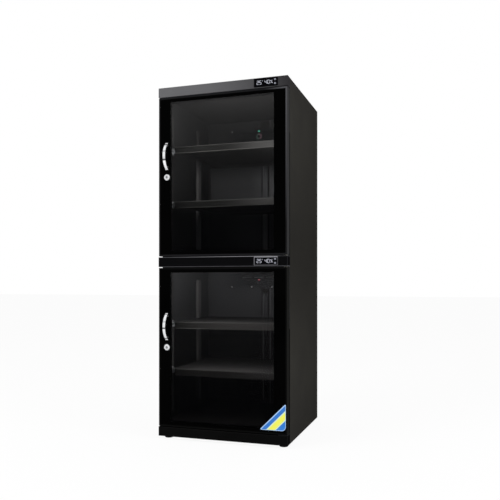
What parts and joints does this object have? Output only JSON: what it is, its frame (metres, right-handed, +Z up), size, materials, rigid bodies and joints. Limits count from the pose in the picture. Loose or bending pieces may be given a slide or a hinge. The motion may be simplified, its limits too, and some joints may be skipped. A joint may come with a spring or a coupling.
{
  "type": "camera dry cabinet",
  "caption": "Tall free-standing steel cabinet with stacked tinted glass doors, adjustable shelves and electronic drying units, for keeping cameras and lenses dry.",
  "frame": {"origin": "on the floor, under the middle of the whole outline, handles and rear covers included", "axes": "+X to the right as seen from the front, +Y to the back, +Z up"},
  "size_m": [0.6, 0.644, 1.579],
  "materials": {
    "shell_paint": "satin dark grey powder coat",
    "fascia_paint": "satin grey powder coat",
    "dark_paint": "satin near-black powder coat",
    "door_paint": "satin grey powder coat",
    "liner_paint": "matt grey powder coat",
    "door_glass": "tinted toughened glass with a printed black border",
    "bright_metal": "polished",
    "zinc_steel": "zinc plated",
    "clip_steel": "bright zinc plated",
    "rubber": "matt",
    "display_plastic": "gloss black",
    "button_plastic": "satin light grey",
    "unit_plastic": "satin dark grey",
    "inlet_plastic": "matt black",
    "lamp_plastic": "clear tinted",
    "ring_plastic": "gloss grey",
    "desiccant": "porous",
    "bush_plastic": "self-lubricating plastic",
    "shutter_metal": "anodised",
    "supply_metal": "plain sheet",
    "board": "lacquered circuit board"
  },
  "bodies": {
    "cabinet": {"left_side_panel": "shell_paint", "right_side_panel": "shell_paint", "back_panel": "shell_paint", "top_panel": "shell_paint", "middle_deck": "liner_paint", "bottom_panel": "liner_paint", "top_fascia": "fascia_paint", "middle_fascia": "dark_paint", "plinth": "dark_paint", "rubber_feet": "rubber", "pilasters": "liner_paint", "shelf_clips": "clip_steel", "hinge_plates": "zinc_steel", "hinge_pins": "zinc_steel", "strike_plates": "zinc_steel", "upper_display_case": "display_plastic", "lower_display_case": "display_plastic", "display_windows": "display_plastic", "display_boards": "board", "upper_dryer_case": "unit_plastic", "lower_dryer_case": "unit_plastic", "dryer_plates": "liner_paint", "desiccant_blocks": "desiccant", "dryer_lamps": "lamp_plastic", "lamp_rings": "ring_plastic", "dryer_screws": "clip_steel", "humidity_sensors": "unit_plastic", "vent_covers": "shell_paint", "power_inlet": "inlet_plastic", "power_supply": "supply_metal", "back_screws": "zinc_steel"},
    "upper_door": {"upper_door_frame": "door_paint", "upper_door_glass": "door_glass", "upper_door_gasket": "rubber", "upper_door_handle": "bright_metal", "upper_door_fasteners": "zinc_steel", "upper_lock_barrel": "bright_metal", "upper_hinge_bushes": "bush_plastic"},
    "lower_door": {"lower_door_frame": "door_paint", "lower_door_glass": "door_glass", "lower_door_gasket": "rubber", "lower_door_handle": "bright_metal", "lower_door_fasteners": "zinc_steel", "lower_lock_barrel": "bright_metal", "lower_hinge_bushes": "bush_plastic"},
    "upper_lock": {"upper_lock_plug": "bright_metal", "upper_lock_cam": "zinc_steel"},
    "lower_lock": {"lower_lock_plug": "bright_metal", "lower_lock_cam": "zinc_steel"},
    "upper_mode_button": {"upper_mode_button": "button_plastic"},
    "upper_set_button": {"upper_set_button": "button_plastic"},
    "lower_mode_button": {"lower_mode_button": "button_plastic"},
    "lower_set_button": {"lower_set_button": "button_plastic"},
    "shelf_a": {"shelf_a": "liner_paint"},
    "shelf_b": {"shelf_b": "liner_paint"},
    "shelf_c": {"shelf_c": "liner_paint"},
    "shelf_d": {"shelf_d": "liner_paint"},
    "upper_shutter": {"upper_shutter": "shutter_metal"},
    "lower_shutter": {"lower_shutter": "shutter_metal"}
  },
  "joints": [
    {"name": "upper_door_hinge", "type": "hinge", "parent": "cabinet", "child": "upper_door", "pos_m": [0.287, -0.272, 1.177], "axis": [0, 0, 1], "range_deg": [0, 115]},
    {"name": "lower_door_hinge", "type": "hinge", "parent": "cabinet", "child": "lower_door", "pos_m": [0.287, -0.272, 0.415], "axis": [0, 0, 1], "range_deg": [0, 115]},
    {"name": "upper_lock_turn", "type": "hinge", "parent": "upper_door", "child": "upper_lock", "pos_m": [-0.258, -0.29, 1.176], "axis": [0, 1, 0], "range_deg": [0, 90]},
    {"name": "lower_lock_turn", "type": "hinge", "parent": "lower_door", "child": "lower_lock", "pos_m": [-0.258, -0.29, 0.414], "axis": [0, 1, 0], "range_deg": [0, 90]},
    {"name": "upper_mode_button_press", "type": "slide", "parent": "cabinet", "child": "upper_mode_button", "axis": [0, 1, 0], "range_m": [0, 0.0008], "stiffness_N_per_m": 500, "springref_m": -0.0008},
    {"name": "upper_set_button_press", "type": "slide", "parent": "cabinet", "child": "upper_set_button", "axis": [0, 1, 0], "range_m": [0, 0.0008], "stiffness_N_per_m": 500, "springref_m": -0.0008},
    {"name": "lower_mode_button_press", "type": "slide", "parent": "cabinet", "child": "lower_mode_button", "axis": [0, 1, 0], "range_m": [0, 0.0008], "stiffness_N_per_m": 500, "springref_m": -0.0008},
    {"name": "lower_set_button_press", "type": "slide", "parent": "cabinet", "child": "lower_set_button", "axis": [0, 1, 0], "range_m": [0, 0.0008], "stiffness_N_per_m": 500, "springref_m": -0.0008},
    {"name": "shelf_a_lift", "type": "slide", "parent": "cabinet", "child": "shelf_a", "axis": [0, 0, 1], "range_m": [0, 0.02]},
    {"name": "shelf_b_lift", "type": "slide", "parent": "cabinet", "child": "shelf_b", "axis": [0, 0, 1], "range_m": [0, 0.02]},
    {"name": "shelf_c_lift", "type": "slide", "parent": "cabinet", "child": "shelf_c", "axis": [0, 0, 1], "range_m": [0, 0.02]},
    {"name": "shelf_d_lift", "type": "slide", "parent": "cabinet", "child": "shelf_d", "axis": [0, 0, 1], "range_m": [0, 0.02]},
    {"name": "upper_shutter_slide", "type": "slide", "parent": "cabinet", "child": "upper_shutter", "axis": [0, 0, 1], "range_m": [0, 0.006]},
    {"name": "lower_shutter_slide", "type": "slide", "parent": "cabinet", "child": "lower_shutter", "axis": [0, 0, 1], "range_m": [0, 0.006]}
  ]
}
